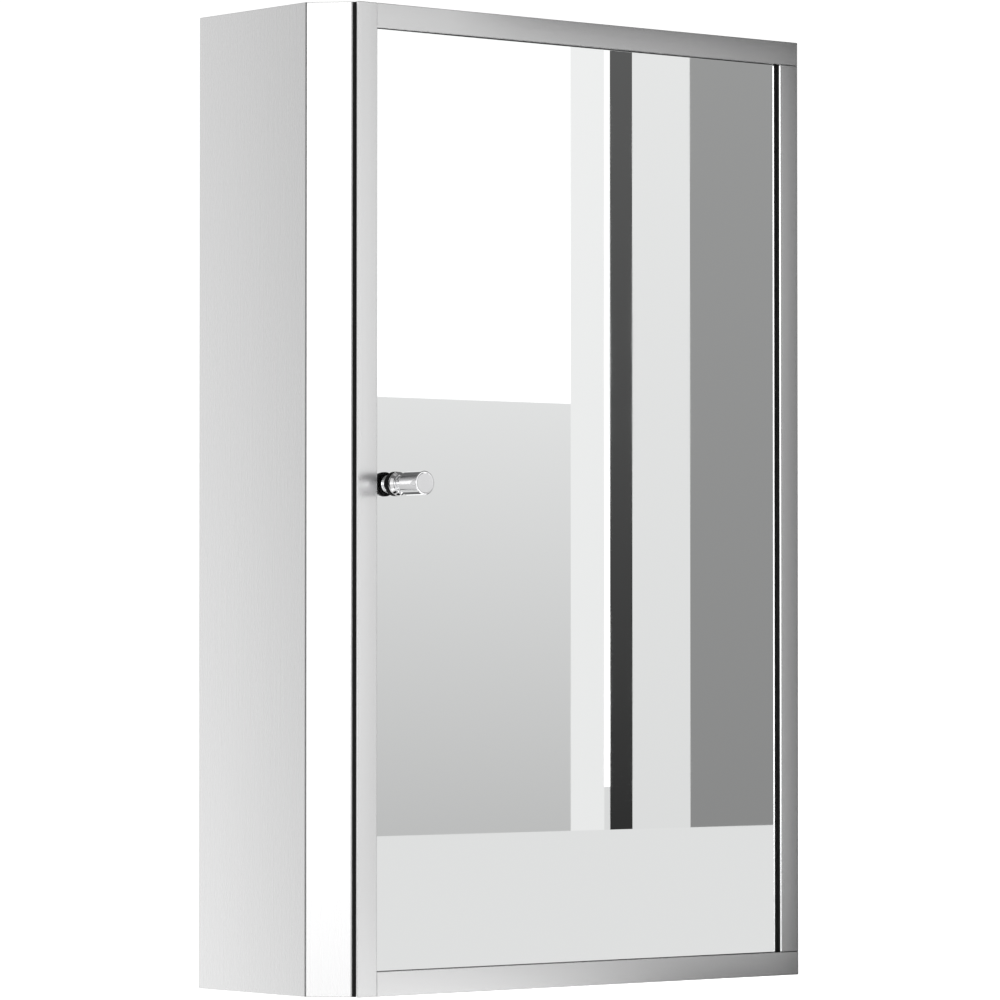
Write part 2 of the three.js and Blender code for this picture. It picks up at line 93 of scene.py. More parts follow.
# The collar, the step on it and the neck's foot, as (radius, distance, rounding) in millimetres.
BASE_STEPS = (
    (5.9, 10.9, 0.4), (5.9, 11.9, 0.35), (5.0, 12.1, 0.15), (5.0, 13.3, 0.35),
    (4.3, 13.5, 0.15), (4.1, 14.7, 0.35), (NECK_R, 15.3, 0.35),
)

# ---- Screws and shelf pins ----
PANEL_SCREW = (1.8 * MM, 0.47)  # height of the head, and the shank's radius as a part of the head's
CATCH_SCREW = (1.6 * MM, 0.56)
KNOB_SCREW = (2.2 * MM, 0.5)
CROSS_REACH = 1.1  # the recess from tip to tip, as a part of the head's radius
CROSS_ARM = 0.26  # the width of its arms, as a part of its reach
CROSS_DEPTH = 0.55  # as a part of the head's height
SHELF_PIN_R = 2.5 * MM
SHELF_PIN_COLLAR_R = 4.5 * MM
SHELF_PIN_COLLAR = 1.2 * MM
SHELF_PIN_EDGE = 0.4 * MM

# ---- Hinge ----
KNUCKLES = 13
KNUCKLE_END_GAP = 0.25 * MM
KNUCKLE_STEPS = 40
KNUCKLE_WRAP = radians(285)  # how far a leaf's edge is rolled round the pin
PIN_CLEARANCE = 0.1 * MM
NOTCH_CLEARANCE = 0.3 * MM
PIN_EDGE = 0.3 * MM
RIVETS = 7
RIVET_INSET = 2.1 * MM
RIVET_R = 1.2 * MM
RIVET_CROWN_R = 0.8 * MM
RIVET_RIM = 0.2 * MM
RIVET_HEAD = 0.5 * MM
RIVET_DEPTH = 0.3 * MM  # how far it goes into the leaf

# ---- Studio ----
FLOOR_Z = -0.45
FLOOR_SIZE = 60.0
LAYER = 0.001  # sheets that lie on the floor are this far apart
CARD_WALL_Y = -5.5  # the cards that the mirror shows stand in this plane
CARD_WALL_TOP = 3.0
NEAR_FLAG_Y = -0.6
SIDE_CARD_X = -0.75
ROOM_TOP = 4.0
ROOM_TONES = (0.72, 0.4)  # at the foot and the top of the walls
WORLD_STRENGTH = 1.4
WORLD_STOPS = ((0.0, 1.0), (0.46, 0.97), (0.56, 0.76), (0.66, 0.56), (1.0, 0.3))  # (height, tone)
DARK_FLAG_START = (0.33, -0.3)
DARK_FLAG_END = (1.0, -0.3)


def new_camera():
    forward = Vector((
        sin(CAMERA_AZIMUTH) * cos(CAMERA_PITCH), cos(CAMERA_AZIMUTH) * cos(CAMERA_PITCH), sin(CAMERA_PITCH),
    ))
    right = Vector((cos(CAMERA_AZIMUTH), -sin(CAMERA_AZIMUTH), 0))
    up = right.cross(forward)
    data = bpy.data.cameras.new("camera")
    data.lens = CAMERA_LENS
    data.sensor_width = 36
    data.clip_end = 100
    camera = bpy.data.objects.new("camera", data)
    scene.collection.objects.link(camera)
    place = AIM + right * AIM_RIGHT + up * AIM_UP - forward * CAMERA_DISTANCE
    turn = Matrix((right, up, -forward)).transposed().to_4x4()
    camera.matrix_world = Matrix.Translation(place) @ turn
    scene.camera = camera


# ---- Materials ----
def node_material(name):
    material = bpy.data.materials.new(name)
    material.use_nodes = True
    nodes = material.node_tree.nodes
    return material, nodes, material.node_tree.links, nodes["Principled BSDF"]


def noise(nodes, links, stretch, scale, detail=3.0):
    """A noise in object space, stretched along the direction of the grain."""
    place = nodes.new("ShaderNodeTexCoord")
    mapping = nodes.new("ShaderNodeMapping")
    mapping.inputs["Scale"].default_value = stretch
    made = nodes.new("ShaderNodeTexNoise")
    made.inputs["Scale"].default_value = scale
    made.inputs["Detail"].default_value = detail
    links.new(place.outputs["Object"], mapping.inputs["Vector"])
    links.new(mapping.outputs["Vector"], made.inputs["Vector"])
    return made.outputs["Fac"]


def ranged(nodes, links, value, low, high, start=0.3, end=0.7):
    """A value from low to high as the noise goes from start to end."""
    spread = nodes.new("ShaderNodeMapRange")
    for socket, number in zip(("From Min", "From Max", "To Min", "To Max"), (start, end, low, high)):
        spread.inputs[socket].default_value = number
    links.new(value, spread.inputs["Value"])
    return spread.outputs["Result"]


def bumped(nodes, links, shader, height, strength, distance):
    bump = nodes.new("ShaderNodeBump")
    bump.inputs["Strength"].default_value = strength
    bump.inputs["Distance"].default_value = distance
    links.new(height, bump.inputs["Height"])
    links.new(bump.outputs["Normal"], shader.inputs["Normal"])


def toned(nodes, links, value, dark, light):
    mix = nodes.new("ShaderNodeMix")
    mix.data_type = "RGBA"
    mix.inputs["A"].default_value = (*dark, 1)
    mix.inputs["B"].default_value = (*light, 1)
    links.new(value, mix.inputs["Factor"])
    return mix.outputs["Result"]


def steel(name, grey, roughness, grain, bump=0.006):
    """Stainless sheet with a fine grain along one axis."""
    material, nodes, links, shader = node_material(name)
    shader.inputs["Metallic"].default_value = 1.0
    fine = noise(nodes, links, grain, 1500.0)
    broad = noise(nodes, links, tuple(g * 4 if g < 1 else 1 for g in grain), 40.0, 2.0)
    light = tuple(c * 1.006 for c in grey)
    dark = tuple(c * 0.994 for c in grey)
    links.new(toned(nodes, links, broad, dark, light), shader.inputs["Base Color"])
    links.new(ranged(nodes, links, fine, roughness * 0.97, roughness * 1.03), shader.inputs["Roughness"])
    bumped(nodes, links, shader, fine, bump, 0.00001)
    return material


def dull(name, dark, light, roughness, scale=60.0, bump=0.1, specular=0.5):
    """A plastic, rubber or board with a mottled tone and a fine surface."""
    material, nodes, links, shader = node_material(name)
    shader.inputs["Specular IOR Level"].default_value = specular
    mottle = noise(nodes, links, (1, 1, 1), scale)
    fine = noise(nodes, links, (1, 1, 1), scale * 30)
    links.new(toned(nodes, links, mottle, dark, light), shader.inputs["Base Color"])
    links.new(ranged(nodes, links, mottle, roughness * 0.9, roughness * 1.1), shader.inputs["Roughness"])
    bumped(nodes, links, shader, fine, bump, 0.0001)
    return material


def mirror_silver():
    material, nodes, links, shader = node_material("mirror_silver")
    shader.inputs["Base Color"].default_value = (0.965, 0.975, 0.972, 1)
    shader.inputs["Metallic"].default_value = 1.0
    haze = noise(nodes, links, (1, 1, 1), 9.0)
    links.new(ranged(nodes, links, haze, 0.0, 0.01), shader.inputs["Roughness"])
    return material


def polished(name, colour, roughness):
    material, nodes, links, shader = node_material(name)
    shader.inputs["Base Color"].default_value = (*colour, 1)
    shader.inputs["Metallic"].default_value = 1.0
    cloud = noise(nodes, links, (1, 1, 1), 160.0)
    links.new(ranged(nodes, links, cloud, roughness * 0.6, roughness * 1.4), shader.inputs["Roughness"])
    return material


ALONG_Z = (1, 1, 0.004)
ALONG_X = (0.004, 1, 1)
STEEL_GREY = (0.66, 0.66, 0.662)

looks = {
    "steel_upright": steel("steel_upright", STEEL_GREY, 0.27, ALONG_Z),
    "steel_level": steel("steel_level", STEEL_GREY, 0.27, ALONG_X),
    "strip_upright": steel("strip_upright", STEEL_GREY, 0.22, ALONG_Z),
    "strip_level": steel("strip_level", STEEL_GREY, 0.22, ALONG_X),
    "steel_inside": steel("steel_inside", (0.56, 0.56, 0.565), 0.36, ALONG_X, 0.04),
    "plain_steel": steel("plain_steel", (0.52, 0.525, 0.53), 0.36, (1, 1, 1), 0.1),
    "chrome": polished("chrome", (0.93, 0.93, 0.94), 0.035),
    "polished_edge": polished("polished_edge", (0.95, 0.95, 0.955), 0.14),
    "mirror": mirror_silver(),
    "black_rubber": dull("black_rubber", (0.002, 0.002, 0.002), (0.005, 0.005, 0.005), 0.6, specular=0.2),
    "hardboard": dull("hardboard", (0.16, 0.085, 0.04), (0.25, 0.145, 0.075), 0.7, 90.0, 0.3),
    "white_plastic": dull("white_plastic", (0.76, 0.76, 0.74), (0.81, 0.81, 0.79), 0.42, 40.0, 0.06),
    "grey_plastic": dull("grey_plastic", (0.08, 0.083, 0.088), (0.11, 0.113, 0.12), 0.5, 40.0, 0.1),
    "magnet": dull("magnet", (0.02, 0.02, 0.022), (0.035, 0.035, 0.038), 0.5, 200.0, 0.3),
}


# ---- Making pieces ----
def piece_of(name, form, body, look, edge_look=None):
    """A finished object from a bmesh. Broad faces keep their flat shading beside rounded edges."""
    mesh = bpy.data.meshes.new(name)
    form.to_mesh(mesh)
    form.free()
    mesh.shade_smooth()
    mesh.set_sharp_from_angle(angle=SMOOTH_BELOW)
    mesh.materials.append(looks[look])
    if edge_look:
        mesh.materials.append(looks[edge_look])
    obj = bpy.data.objects.new(name, mesh)
    scene.collection.objects.link(obj)
    weigh = obj.modifiers.new("weigh", "WEIGHTED_NORMAL")
    weigh.keep_sharp = True
    weigh.weight = 100
    apply_modifiers(obj)
    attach(obj, body)
    return obj


def apply_modifiers(obj):
    """Gives the object the mesh that its modifiers make."""
    shown = obj.evaluated_get(bpy.context.evaluated_depsgraph_get())
    done = bpy.data.meshes.new_from_object(shown)
    obj.modifiers.clear()
    obj.data = done


def stand_for(node, form, look, edge_look=None):
    """A fine piece in the place of one node of the frame."""
    obj = piece_of(f"{node}_fine", form, body_of_node[node], look, edge_look)
    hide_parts(node)


def rounded(node, radius, look, edge_look=None, segments=2, sharp=25, dressed=None, fold=0.0):
    """The node's own form with its sharp edges rounded. dressed may colour its faces.

    fold is how far the bend of a 45 degree fold reaches along each of its faces.
    """
    form = bmesh.new()
    form.from_mesh(frame["nodes"][node].data)
    bmesh.ops.remove_doubles(form, verts=form.verts, dist=WELD)
    bmesh.ops.dissolve_limit(form, angle_limit=radians(0.5), verts=form.verts, edges=form.edges)
    for face in form.faces:
        face.material_index = 1 if dressed and dressed(face) else 0
    if fold:
        folds = [e for e in form.edges if abs(e.calc_face_angle(0) - radians(45)) < radians(1)]
        bmesh.ops.bevel(form, geom=folds, offset=fold, segments=5, profile=0.5, affect="EDGES", material=-1)
    edges = [e for e in form.edges if len(e.link_faces) == 2 and e.calc_face_angle() > radians(sharp)]
    bmesh.ops.bevel(
        form, geom=edges, offset=radius, segments=segments, profile=0.5,
        affect="EDGES", clamp_overlap=True, material=-1,
    )
    stand_for(node, form, look, edge_look)


def filleted(corners, closed=True, steps=5):
    """A polyline through (x, y, radius) corners, with each corner rounded to its radius."""
    points = []
    count = len(corners)
    for i, (x, y, radius) in enumerate(corners):
        here = Vector((x, y))
        if radius <= 0 or (not closed and i in (0, count - 1)):
            points.append(here)
            continue
        before = Vector(corners[i - 1][:2]) - here
        after = Vector(corners[(i + 1) % count][:2]) - here
        half = before.angle(after) / 2
        reach = radius / tan(half)
        start, end = here + before.normalized() * reach, here + after.normalized() * reach
        centre = here + (before.normalized() + after.normalized()).normalized() * radius / sin(half)
        a, b = (start - centre), (end - centre)
        turn = atan2(a.x * b.y - a.y * b.x, a.dot(b))
        for k in range(steps + 1):
            angle = turn * k / steps
            spin = Matrix(((cos(angle), -sin(angle)), (sin(angle), cos(angle))))
            points.append(centre + spin @ a)
    return points


def turned(profile, centre, out, segments=ROUND):
    """A solid of revolution. out is the direction of its axis.

    The profile is (radius, distance along out), from one end on the axis to the other, or a closed loop.
    """
    form = bmesh.new()
    out = Vector(out)
    side = out.orthogonal().normalized()
    rim = out.cross(side)
    closed = profile[0][0] > 0 and profile[-1][0] > 0
    spokes = []
    for k in range(segments):
        angle = 2 * pi * k / segments
        spokes.append(side * cos(angle) + rim * sin(angle))
    rings = []
    for radius, along in profile:
        middle = Vector(centre) + out * along
        if radius < 1e-9:
            rings.append([form.verts.new(middle)])
            continue
        rings.append([form.verts.new(middle + spoke * radius) for spoke in spokes])
    pairs = list(zip(rings, rings[1:])) + ([(rings[-1], rings[0])] if closed else [])
    for low, high in pairs:
        for k in range(segments):
            n = (k + 1) % segments
            if len(low) == 1:
                form.faces.new((low[0], high[n], high[k]))
            elif len(high) == 1:
                form.faces.new((low[k], low[n], high[0]))
            else:
                form.faces.new((low[k], low[n], high[n], high[k]))
    bmesh.ops.recalc_face_normals(form, faces=form.faces)
    return form


def extruded(form, outline, axis, low, high):
    """Adds a closed outline, raised along an axis. Along x it is (y, z), along y (x, z), along z (x, y)."""
    def placed(u, v, w):
        return {"x": (w, u, v), "y": (u, w, v), "z": (u, v, w)}[axis]

    bottom = [form.verts.new(placed(u, v, low)) for u, v in outline]
    top = [form.verts.new(placed(u, v, high)) for u, v in outline]
    count = len(outline)
    faces = [form.faces.new(bottom), form.faces.new(top)]
    for k in range(count):
        n = (k + 1) % count
        faces.append(form.faces.new((bottom[k], bottom[n], top[n], top[k])))
    bmesh.ops.recalc_face_normals(form, faces=faces)
    return form


def middle_of(node):
    low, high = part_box(node)
    return (low + high) / 2


# ---- Cabinet shell, shelves and the door's strips ----
def cabinet_shell():
    for node in ("side_shell_left", "side_shell_right"):
        rounded(node, SHELL_EDGE, "steel_upright", fold=SHELL_FOLD)
    for node in ("top_shell", "bottom_shell", "back_panel"):
        rounded(node, SHEET_EDGE, "steel_level")
    for node in ("shelf_upper", "shelf_lower"):
        rounded(node, SHEET_EDGE, "steel_inside", segments=3)
    for node in ("hanger_plate_left", "hanger_plate_right"):
        rounded(node, SHEET_EDGE, "plain_steel")


def door_frame():
    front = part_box("door_stile_left")[0].y
    strip_back = front + STRIP_THICK

    def cut_edge(face):
        """The thin side of a strip's face, cut and polished."""
        return abs(face.normal.y) < 0.5 and face.calc_center_median().y < strip_back

    for node in ("door_stile_left", "door_stile_right"):
        rounded(node, STRIP_EDGE, "strip_upright", "polished_edge", dressed=cut_edge)
    for node in ("door_rail_top", "door_rail_bottom"):
        rounded(node, STRIP_EDGE, "strip_level", "polished_edge", dressed=cut_edge)
    rounded("door_back_panel", SHEET_EDGE, "steel_inside")
    rounded("backing_board", SHEET_EDGE, "hardboard")
    for end in ("top", "bottom"):
        for across in ("left", "right"):
            rounded(f"corner_key_{end}_{across}", MOULDED_EDGE, "grey_plastic", segments=3)


def mirror():
    rounded("mirror_glass", GLASS_EDGE, "mirror", segments=3)


# ---- Rubber strips ----
def strip_outline(low, high, lips):
    """A flat-backed strip with rounded corners, and a groove between two lips on its open side.

    low and high are its box in two axes, and lips is +1 or -1, the side that the groove is on.
    """
    r = RUBBER_EDGE
    groove = RUBBER_GROOVE
    (u0, v0), (u1, v1) = low, high
    corners = [(u0, v0, r), (u1, v0, r), (u1, v1, r), (u0, v1, r)]
    middle = (v0 + v1) / 2
    side, sign, before = (u1, -1, 2) if lips > 0 else (u0, 1, 4)
    corners[before:before] = [
        (side, middle + sign * groove, r / 2),
        (side + sign * groove, middle, r / 3),
        (side, middle - sign * groove, r / 2),
    ]
    return [tuple(p) for p in filleted(corners, steps=4)]


def rubber_strips():
    # Upright strips are drawn in (x, y) and level ones in (z, y), so a lip always runs along y's middle.
    for node, lips in (("door_seal_left", -1), ("glazing_strip_left", 1), ("glazing_strip_right", -1)):
        low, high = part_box(node)
        outline = strip_outline((low.x, low.y), (high.x, high.y), lips)
        stand_for(node, extruded(bmesh.new(), outline, "z", low.z, high.z), "black_rubber")
    for node, lips in (
        ("door_seal_top", 1), ("door_seal_bottom", -1),
        ("glazing_strip_top", -1), ("glazing_strip_bottom", 1),
    ):
        low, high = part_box(node)
        outline = [(y, z) for z, y in strip_outline((low.z, low.y), (high.z, high.y), lips)]
        stand_for(node, extruded(bmesh.new(), outline, "x", low.x, high.x), "black_rubber")


# ---- Knob ----
def knob():
    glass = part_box("mirror_glass")[0].y
    centre = middle_of("knob_cap")
    centre.y = glass
    out = Vector((0, -1, 0))
    bore = KNOB_BORE_R

    def reach(node):
        """Where the node starts and ends in front of the glass, and its radius."""
        low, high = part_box(node)
        return glass - high.y, glass - low.y, (high.x - low.x) / 2

    start, end, radius = reach("knob_foot")
    profile = filleted([
        (bore, start, 0), (radius, start, 0.2 * MM), (radius, FOOT_RIM, 0.4 * MM),
        (FOOT_TOP_R, end, 0), (bore, end, 0),
    ])
    stand_for("knob_foot", turned(profile, centre, out), "chrome")

    start, end, radius = reach("knob_washer")
    profile = filleted([
        (bore, start, 0), (radius, start, 0.5 * MM), (radius, end, 1.0 * MM), (bore, end, 0),
    ])
    stand_for("knob_washer", turned(profile, centre, out), "black_rubber")

    start, end, radius = reach("knob_base")
    profile = filleted([
        (bore, start, 0), (radius, start, 0.35 * MM), (radius, start + FLANGE_RIM, 0.5 * MM),
        *[(step * MM, place * MM, soft * MM) for step, place, soft in BASE_STEPS],
        (NECK_R * MM, end, 0), (bore, end, 0),
    ])
    stand_for("knob_base", turned(profile, centre, out), "chrome")

    start, end, radius = reach("knob_cap")
    dish_r = radius - CAP_RIM
    profile = filleted([
        (0, CAP_BORE_END, 0), (bore, CAP_BORE_END, 0), (bore, start, 0), (radius, start, 0.6 * MM),
        (radius, end, 0.55 * MM), (dish_r, end, 0.3 * MM),
        (dish_r - CAP_DISH_SLOPE, end - CAP_DISH, 0.3 * MM), (0, end - CAP_DISH, 0),
    ], closed=False)
    stand_for("knob_cap", turned(profile, centre, out), "chrome")


# ---- Screws and pins ----
def cross_outline(u, v, reach, width):
    """The twelve corners of a cross about (u, v), reach from tip to tip and width across each arm."""
    arm = [(reach / 2, -width / 2), (reach / 2, width / 2), (width / 2, width / 2)]
    corners = []
    for _ in range(4):
        corners += [(u + a, v + b) for a, b in arm]
        arm = [(-b, a) for a, b in arm]
    return corners


def without(form, cutter):
    """The form with the cutter's volume taken away. The cutter mustn't cross itself."""
    pair = []
    for name, part in (("blank", form), ("cutter", cutter)):
        mesh = bpy.data.meshes.new(name)
        part.to_mesh(mesh)
        part.free()
        pair.append(bpy.data.objects.new(name, mesh))
        scene.collection.objects.link(pair[-1])
    blank, tool = pair
    cut = blank.modifiers.new("cut", "BOOLEAN")
    cut.operation = "DIFFERENCE"
    cut.object = tool
    cut.solver = "EXACT"
    apply_modifiers(blank)
    left = bmesh.new()
    left.from_mesh(blank.data)
    for obj in pair:
        bpy.data.objects.remove(obj)
    return left


def screw(node, axis, head_height, shank_ratio):
    """A pan-head screw with a cross recess, whose head points along the axis."""
    low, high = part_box(node)
    out = Vector((axis == "x", axis == "y", 0))
    length = (high - low).dot(out)
    centre = (low + high) / 2
    tip = centre - out * length / 2
    radius = (high.z - low.z) / 2
    shank = radius * shank_ratio
    seat = length - head_height
    profile = filleted([
        (0, 0, 0), (shank * 0.6, 0, 0), (shank, shank * 0.5, 0), (shank, seat, 0), (radius, seat, 0),
        (radius, seat + head_height * 0.45, head_height * 0.3), (radius * 0.75, length, head_height * 0.5),
        (0, length, 0),
    ], closed=False)
    across = centre.y if axis == "x" else centre.x
    reach, depth = radius * CROSS_REACH, head_height * CROSS_DEPTH
    crown = high.dot(out)
    cross = cross_outline(across, centre.z, reach, reach * CROSS_ARM)
    cutter = extruded(bmesh.new(), cross, axis, crown - depth, crown + depth)
    form = without(turned(profile, tip, out, SMALL_ROUND), cutter)
    stand_for(node, form, "plain_steel")


def screws():
    for end in ("top", "bottom"):
        for across in ("left", "right"):
            screw(f"panel_screw_{end}_{across}", "y", *PANEL_SCREW)
    for place in ("upper", "lower"):
        for row in ("front", "rear"):
            screw(f"catch_screw_{place}_{row}", "x", *CATCH_SCREW)
    screw("knob_screw", "y", *KNOB_SCREW)


def shelf_pins():
    for storey in ("upper", "lower"):
        for side, out in (("left", 1), ("right", -1)):
            for row in ("front", "rear"):
                node = f"shelf_pin_{storey}_{side}_{row}"
                low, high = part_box(node)
                foot = middle_of(node)
                foot.x = low.x if out > 0 else high.x
                length = high.x - low.x
                soft = SHELF_PIN_EDGE
                profile = filleted([
                    (0, 0, 0), (SHELF_PIN_COLLAR_R, 0, 0), (SHELF_PIN_COLLAR_R, SHELF_PIN_COLLAR, soft),
                    (SHELF_PIN_R, SHELF_PIN_COLLAR, soft / 2), (SHELF_PIN_R, length, 2 * soft),
                    (0, length, 0),
                ], closed=False)
                stand_for(node, turned(profile, foot, (out, 0, 0), SMALL_ROUND), "plain_steel")


# ---- Hinge ----
def knuckle_outline(axis_x, axis_y, barrel, bore, way):
    """A leaf's edge rolled round the pin. way is +1 where the leaf lies behind it, on the wall's side."""
    angles = [pi / 2 - KNUCKLE_WRAP * k / KNUCKLE_STEPS for k in range(KNUCKLE_STEPS + 1)]
    outer = [(axis_x + barrel * cos(a), axis_y + way * barrel * sin(a)) for a in angles]
    inner = [(axis_x + bore * cos(a), axis_y + way * bore * sin(a)) for a in reversed(angles)]
    return outer + inner


def hinge_leaf(node, way, first):
    """A leaf with every second knuckle, from number first on, and the rivets that hold it."""
    gap = KNUCKLE_END_GAP
    low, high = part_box(node)
    pin_low, pin_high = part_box("hinge_pin")
    axis = (pin_low + pin_high) / 2
    bore = (pin_high.x - pin_low.x) / 2 + PIN_CLEARANCE
    barrel = high.x - axis.x
    ys = sorted((axis.y + way * barrel, axis.y + way * bore))
    bottom, top = pin_low.z, pin_high.z
    pitch = (top - bottom) / KNUCKLES
    notch = axis.x - barrel - NOTCH_CLEARANCE
    comb = [(low.x, bottom)]
    spans = []
    for k in range(KNUCKLES):
        z0, z1 = bottom + k * pitch, bottom + (k + 1) * pitch
        if k % 2 == first:
            comb += [(notch, z0 + gap), (axis.x, z0 + gap), (axis.x, z1 - gap), (notch, z1 - gap)]
            spans.append((z0 + gap, z1 - gap))
    comb = [comb[0], (notch, bottom), *comb[1:], (notch, top), (low.x, top)]
    form = extruded(bmesh.new(), comb, "y", *ys)
    outline = knuckle_outline(axis.x, axis.y, barrel, bore, way)
    for z0, z1 in spans:
        extruded(form, outline, "z", z0, z1)
    stand_for(node, form, "steel_inside")
    face = ys[0] if way > 0 else ys[1]
    profile = filleted([
        (0, -RIVET_DEPTH, 0), (RIVET_R, -RIVET_DEPTH, 0), (RIVET_R, RIVET_RIM, 0),
        (RIVET_CROWN_R, RIVET_HEAD, 0.5 * MM), (0, RIVET_HEAD, 0),
    ], closed=False)
    for k in range(RIVETS):
        place = (low.x + RIVET_INSET, face, bottom + pitch * (0.5 + 2 * k))
        rivet = turned(profile, place, (0, -way, 0), RIVET_ROUND)
        piece_of(f"{node}_rivet_{k + 1}", rivet, body_of_node[node], "plain_steel")


def hinge():
    hinge_leaf("hinge_leaf_body", 1, 0)
    hinge_leaf("hinge_leaf_door", -1, 1)
    low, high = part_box("hinge_pin")
    foot = middle_of("hinge_pin")
    foot.z = low.z
    radius, length = (high.x - low.x) / 2, high.z - low.z
    profile = filleted([
        (0, 0, 0), (radius, 0, PIN_EDGE), (radius, length, PIN_EDGE), (0, length, 0),
    ], closed=False)
    stand_for("hinge_pin", turned(profile, foot, (0, 0, 1), PIN_ROUND), "plain_steel")


# ---- Catches ----
def catches():
    for place in ("upper", "lower"):
        rounded(f"catch_housing_{place}", MOULDED_EDGE, "white_plastic", segments=3)
        rounded(f"catch_magnet_{place}", CATCH_METAL_EDGE, "magnet")
        rounded(f"strike_plate_{place}", CATCH_METAL_EDGE, "plain_steel", segments=3)


# ---- Studio ----
def emitter(name, low_tone, high_tone, strength=1.0):
    """A glowing surface, from one grey at its bottom to another at its top."""
    material = bpy.data.materials.new(name)
    material.use_nodes = True
    nodes, links = material.node_tree.nodes, material.node_tree.links
    nodes.clear()
    place = nodes.new("ShaderNodeTexCoord")
    split = nodes.new("ShaderNodeSeparateXYZ")
    links.new(place.outputs["Generated"], split.inputs["Vector"])
    glow = nodes.new("ShaderNodeEmission")
    tone = toned(nodes, links, split.outputs["Z"], (low_tone,) * 3, (high_tone,) * 3)
    links.new(tone, glow.inputs["Color"])
    glow.inputs["Strength"].default_value = strength
    out = nodes.new("ShaderNodeOutputMaterial")
    links.new(glow.outputs[0], out.inputs["Surface"])
    return material


def stage_sheet(name, corners, material):
    """A flat sheet that only reflections see."""
    mesh = bpy.data.meshes.new(name)
    mesh.from_pydata(corners, [], [range(len(corners))])
    obj = bpy.data.objects.new(name, mesh)
    scene.collection.objects.link(obj)
    mesh.materials.append(material)
    obj.visible_camera = False
    obj.visible_diffuse = False
    obj.visible_shadow = False


def card(name, start, end, low, high, low_tone, high_tone, strength=1.0):
    """An upright card from start to end, each (x, y)."""
    corners = [(*start, low), (*end, low), (*end, high), (*start, high)]
    stage_sheet(name, corners, emitter(name, low_tone, high_tone, strength))


def level_card(name, near, far, level, tone):
    """A level card between two corners, each (x, y)."""
    (x0, y0), (x1, y1) = near, far
    corners = [(x0, y0, level), (x1, y0, level), (x1, y1, level), (x0, y1, level)]
    stage_sheet(name, corners, emitter(name, tone, tone))


def floor_sheet(name, outline, layer, tone):
    """A sheet on the floor, as its (x, y) corners. Sheets of a higher layer cover those below."""
    corners = [(x, y, FLOOR_Z + layer * LAYER) for x, y in outline]
    stage_sheet(name, corners, emitter(name, tone, tone))


def mirror_cards():
    """What the mirror shows, a wall of plain cards, black flags that darken the knob and the rails, and a
    painted shadow: a black sheet on the floor under the cabinet's front.
    """
    y = CARD_WALL_Y
    top = CARD_WALL_TOP
    for name, x0, x1, high, low_tone, high_tone in (
        ("low_card", 3.95, 4.55, 0.375, 0.52, 0.77),
        ("jamb_card", 4.55, 4.635, top, 0.84, 0.95),
        ("gap_card", 4.65, 4.707, top, 0.03, 0.2),
        ("pale_card", 4.707, 4.857, top, 0.74, 0.9),
        ("grey_card", 4.857, 6.5, top, 0.26, 0.4),
    ):
        card(name, (x0, y), (x1, y), FLOOR_Z, high, low_tone, high_tone)
    card("dark_flag", DARK_FLAG_START, DARK_FLAG_END, FLOOR_Z, 1.4, 0.0, 0.0)
    for name, x0, low, high in (("upper_flag", 0.3, 0.37, 1.4), ("lower_flag", 0.43, FLOOR_Z, -0.34)):
        card(name, (x0, NEAR_FLAG_Y), (0.6, NEAR_FLAG_Y), low, high, 0.0, 0.0)
    # Painted shadow: a black sheet on the glowing floor under the cabinet's front, where the cabinet shades
    # the floor. Only reflections see it, so it darkens the lower edges of the rails.
    level_card("painted_floor_shadow", (-0.3, -0.3), (0.5, -0.15), FLOOR_Z + 6 * LAYER, 0.0)
    floor_sheet("floor_mat", [(0.31, -0.2), (2.4, -0.2), (2.4, -1.9), (1.4, -1.9)], 5, 0.0)
    card("far_flag", (4.5, -5.4), (6.5, -5.4), 1.15, 3.5, 0.0, 0.0)
    level_card("roof_flag", (-1.3, -2.2), (2.0, -0.25), 1.3, 0.14)
    knob_mat = [(-0.12, -0.6), (0.02, -0.6), (0.45, -0.88), (0.42, -1.12), (-0.05, -0.85)]
    floor_sheet("knob_mat", knob_mat, 4, 0.16)
    card("glow_card", (2.7, y + 0.1), (3.95, y + 0.1), FLOOR_Z, top, 1.0, 0.3, 1.8)
    floor_sheet("floor_card", [(1.0, -2.0), (2.2, -2.0), (5.4, y), (3.6, y)], 5, 0.76)


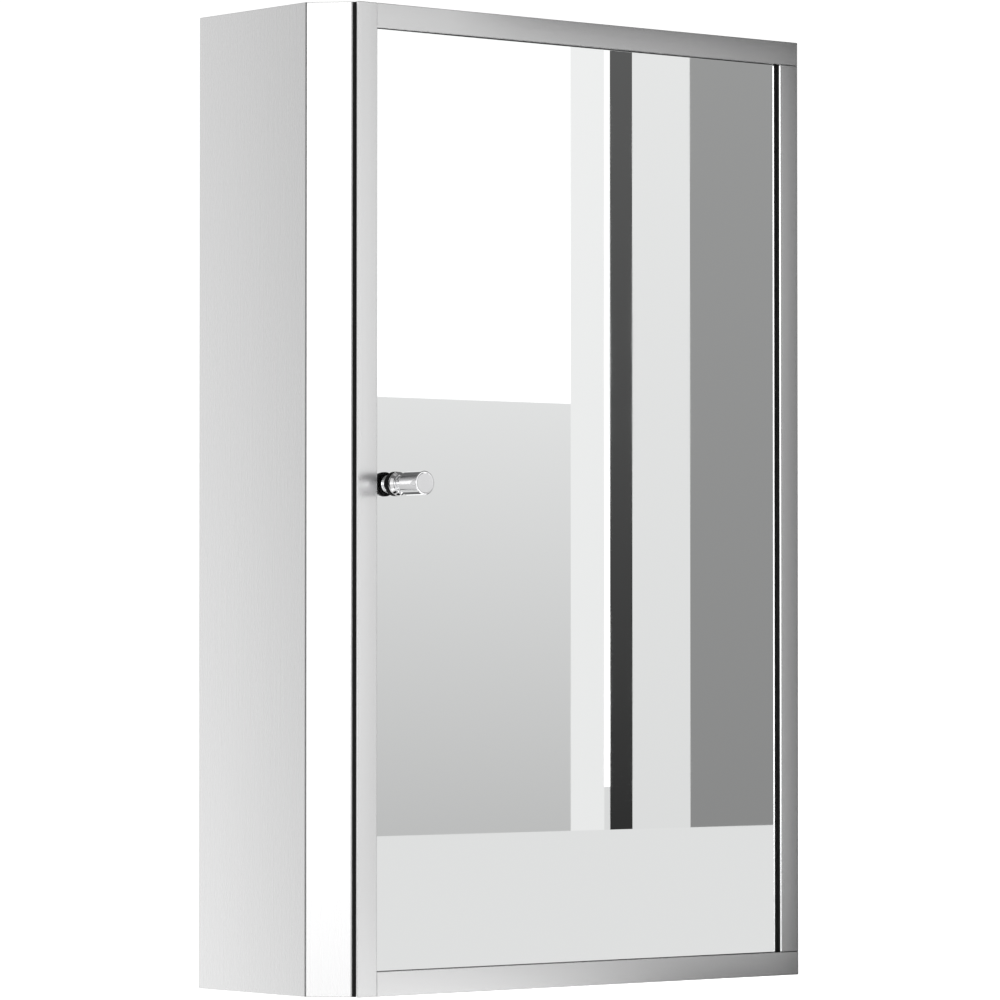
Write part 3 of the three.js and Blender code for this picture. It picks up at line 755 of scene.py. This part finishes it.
def room_cards():
    """Grey walls and floor all round, so that steel and mirror keep a tone from every side."""
    card("bevel_card", (-6.2, -2.6), (-4.2, -5.5), FLOOR_Z, 1.8, 1.0, 1.0, 2.3)
    card("side_flag", (SIDE_CARD_X, 0.1), (SIDE_CARD_X, 0.66), FLOOR_Z, 1.0, 0.8, 0.54)
    card("fold_flag", (SIDE_CARD_X, -0.25), (SIDE_CARD_X, 0.1), FLOOR_Z, 1.0, 0.12, 0.12)
    for name, start, end in (
        ("front_wall", (-3.8, -5.6), (2.7, -5.6)),
        ("right_wall", (7.0, -6.0), (7.0, 6.0)),
        ("back_wall", (7.0, 6.0), (-1.2, 6.0)),
        ("left_wall", (-7.2, -2.0), (-7.2, 1.0)),
    ):
        card(name, start, end, FLOOR_Z, ROOM_TOP, *ROOM_TONES)
    level_card("room_floor", (-8.0, -8.0), (8.0, 8.0), FLOOR_Z + 2 * LAYER, 0.72)
    for name, tone, outline in (
        ("side_floor", 1.45, [(-0.3, 0.0), (-5.0, 0.0), (-5.0, 6.0), (-0.3, 6.0)]),
        ("bevel_floor", 1.15, [(-0.45, -0.2), (-0.2, -0.45), (-3.6, -4.2), (-5.0, -2.6)]),
        ("rail_floor", 1.6, [(-0.2, -0.32), (0.31, -0.32), (1.4, -1.9), (1.4, -2.15), (0.7, -2.15)]),
    ):
        floor_sheet(name, outline, 3, tone)


def world_light():
    """A white studio that is a little darker overhead."""
    world = bpy.data.worlds.new("studio")
    world.use_nodes = True
    nodes, links = world.node_tree.nodes, world.node_tree.links
    back = nodes["Background"]
    place = nodes.new("ShaderNodeTexCoord")
    split = nodes.new("ShaderNodeSeparateXYZ")
    ramp = nodes.new("ShaderNodeValToRGB")
    height = nodes.new("ShaderNodeMapRange")
    height.inputs["From Min"].default_value = -1
    links.new(place.outputs["Generated"], split.inputs["Vector"])
    links.new(split.outputs["Z"], height.inputs["Value"])
    links.new(height.outputs["Result"], ramp.inputs["Fac"])
    links.new(ramp.outputs["Color"], back.inputs["Color"])
    for place_on, tone in WORLD_STOPS[1:-1]:
        ramp.color_ramp.elements.new(place_on).color = (tone, tone, tone, 1)
    ramp.color_ramp.elements[0].color = (WORLD_STOPS[0][1],) * 3 + (1,)
    ramp.color_ramp.elements[-1].color = (WORLD_STOPS[-1][1],) * 3 + (1,)
    back.inputs["Strength"].default_value = WORLD_STRENGTH
    scene.world = world


def studio():
    scene.view_settings.view_transform = "Standard"
    world_light()
    half = FLOOR_SIZE / 2
    mesh = bpy.data.meshes.new("floor")
    corners = [(x, y, FLOOR_Z) for x, y in ((-half, -half), (half, -half), (half, half), (-half, half))]
    mesh.from_pydata(corners, [], [(0, 1, 2, 3)])
    floor = bpy.data.objects.new("floor", mesh)
    scene.collection.objects.link(floor)
    material, _, _, shader = node_material("floor")
    shader.inputs["Base Color"].default_value = (0.8, 0.8, 0.8, 1)
    shader.inputs["Roughness"].default_value = 0.9
    shader.inputs["Emission Color"].default_value = (1, 1, 1, 1)
    shader.inputs["Emission Strength"].default_value = 1.0
    mesh.materials.append(material)
    mirror_cards()
    room_cards()


new_camera()
cabinet_shell()
door_frame()
mirror()
rubber_strips()
knob()
screws()
shelf_pins()
hinge()
catches()
studio()
